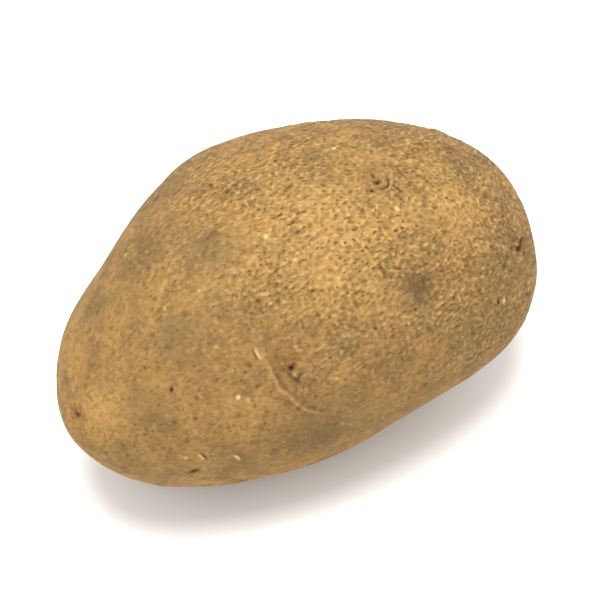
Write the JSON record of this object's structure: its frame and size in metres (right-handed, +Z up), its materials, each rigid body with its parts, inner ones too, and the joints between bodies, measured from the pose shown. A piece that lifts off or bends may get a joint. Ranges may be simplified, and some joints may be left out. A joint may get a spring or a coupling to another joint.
{
  "type": "potato",
  "caption": "Whole unpeeled potato: an oval, slightly tapered tuber with shallow eyes and rough netted skin, lying on a small flat spot.",
  "frame": {"origin": "on the surface that the potato rests on, under the middle of its outline seen from above", "axes": "+X along the tuber from the stem end to the rose end, +Z up, +Y across it"},
  "size_m": [0.1098, 0.0712, 0.0625],
  "materials": {
    "potato_skin": "matt, dusty, netted cork skin"
  },
  "bodies": {
    "root": {"potato": "potato_skin"}
  },
  "joints": []
}
